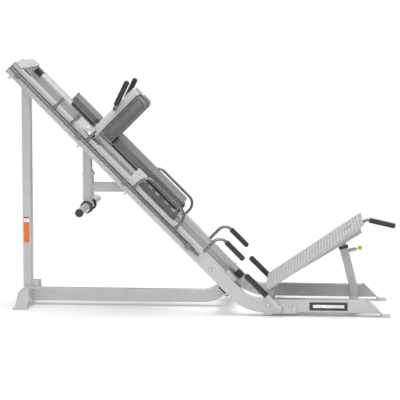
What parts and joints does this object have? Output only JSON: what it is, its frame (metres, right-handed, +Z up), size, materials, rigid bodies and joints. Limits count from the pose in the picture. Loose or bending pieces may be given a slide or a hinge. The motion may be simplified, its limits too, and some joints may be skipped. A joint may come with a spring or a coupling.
{
  "type": "hack squat machine",
  "caption": "Plate-loaded hack squat: a padded carriage on inclined guide rods, swinging safety stops and a tilting tread foot plate on a telescoping post.",
  "frame": {"origin": "on the floor, under the middle of the whole machine", "axes": "+X from the rear column to the foot plate, +Y to the left of a user who lies against the back pad, +Z up"},
  "size_m": [2.2582, 0.806, 1.467],
  "materials": {
    "powder_coat": "silver-grey powder coat, fine texture",
    "tread": "silver-grey powder coat over raised tread bars",
    "chrome": "hard chrome, polished",
    "plated_steel": "bright zinc plate",
    "dark_steel": "dark nickel plate, satin",
    "grip_rubber": "textured black rubber",
    "rubber": "smooth black rubber",
    "black_plastic": "satin black moulded plastic",
    "housing": "dark grey cast housing",
    "vinyl": "dark grey vinyl upholstery over foam, soft sheen",
    "board": "black-faced plywood",
    "knob": "yellow moulded knob"
  },
  "bodies": {
    "frame": {"right_rail": "powder_coat", "left_rail": "powder_coat", "right_rail_bend": "powder_coat", "left_rail_bend": "powder_coat", "right_base_tube": "powder_coat", "left_base_tube": "powder_coat", "right_guide_rod": "chrome", "left_guide_rod": "chrome", "splice_plates": "powder_coat", "floor_feet": "powder_coat", "rear_crossbeam": "powder_coat", "rear_column": "powder_coat", "rear_beam": "powder_coat", "top_cross_plate": "powder_coat", "lower_crossmember": "powder_coat", "front_crossmember": "powder_coat", "hinge_brackets": "powder_coat", "rod_mounts": "powder_coat", "rod_bumpers": "rubber", "safety_bearings": "powder_coat", "rail_end_caps": "black_plastic", "rail_end_plates": "plated_steel", "upper_handles": "dark_steel", "lower_handles": "powder_coat", "frame_grips": "grip_rubber", "frame_bolts": "plated_steel"},
    "right_safety": {"right_safety_rod": "dark_steel", "right_safety_pegs": "dark_steel", "right_safety_loop": "dark_steel"},
    "left_safety": {"left_safety_rod": "dark_steel", "left_safety_pegs": "dark_steel", "left_safety_loop": "dark_steel"},
    "carriage": {"carriage_cross_tubes": "powder_coat", "carriage_long_tubes": "powder_coat", "bearing_blocks": "housing", "catch_plates": "powder_coat", "catch_rollers": "plated_steel", "shoulder_arms": "powder_coat", "shoulder_handles": "dark_steel", "shoulder_grips": "grip_rubber", "back_pad": "vinyl", "head_pad": "vinyl", "right_shoulder_pad": "vinyl", "left_shoulder_pad": "vinyl", "pad_boards": "board", "weight_post": "powder_coat", "weight_beam": "powder_coat", "weight_horns": "chrome", "horn_flanges": "rubber", "horn_caps": "black_plastic", "carriage_bolts": "plated_steel"},
    "foot_plate": {"foot_plate": "tread", "plate_frame": "powder_coat", "top_handle": "dark_steel", "top_grip": "grip_rubber"},
    "post": {"outer_post": "powder_coat", "post_collar": "black_plastic"},
    "inner_post": {"inner_post": "plated_steel"},
    "pull_pin": {"pull_pin": "plated_steel", "pull_knob": "knob"}
  },
  "joints": [
    {"name": "carriage_slide", "type": "slide", "parent": "frame", "child": "carriage", "axis": [0.7071, 0, -0.7071], "range_m": [-0.264, 0.46]},
    {"name": "right_safety_swing", "type": "hinge", "parent": "frame", "child": "right_safety", "pos_m": [-1.07451, -0.3295, 1.40399], "axis": [0.7071, 0, -0.7071], "range_deg": [0, 75]},
    {"name": "left_safety_swing", "type": "hinge", "parent": "frame", "child": "left_safety", "pos_m": [-1.07451, 0.3295, 1.40399], "axis": [-0.7071, 0, 0.7071], "range_deg": [0, 75]},
    {"name": "foot_plate_tilt", "type": "hinge", "parent": "frame", "child": "foot_plate", "pos_m": [0.392, 0, 0.128], "axis": [0, -1, 0], "range_deg": [0, 15]},
    {"name": "post_tilt", "type": "hinge", "parent": "frame", "child": "post", "pos_m": [0.884, 0, 0.127], "axis": [0, -1, 0], "range_deg": [0, 8.2]},
    {"name": "post_extend", "type": "slide", "parent": "post", "child": "inner_post", "axis": [-0.2509, 0, 0.968], "range_m": [0, 0.1225]},
    {"name": "pull_pin_slide", "type": "slide", "parent": "post", "child": "pull_pin", "axis": [0.968, 0, 0.2509], "range_m": [0, 0.012], "stiffness_N_per_m": 500}
  ],
  "couplings": [
    {"joint": "post_tilt", "follows": "foot_plate_tilt", "ratio": 0.542},
    {"joint": "post_extend", "follows": "foot_plate_tilt", "m_per_rad": 0.4656}
  ]
}
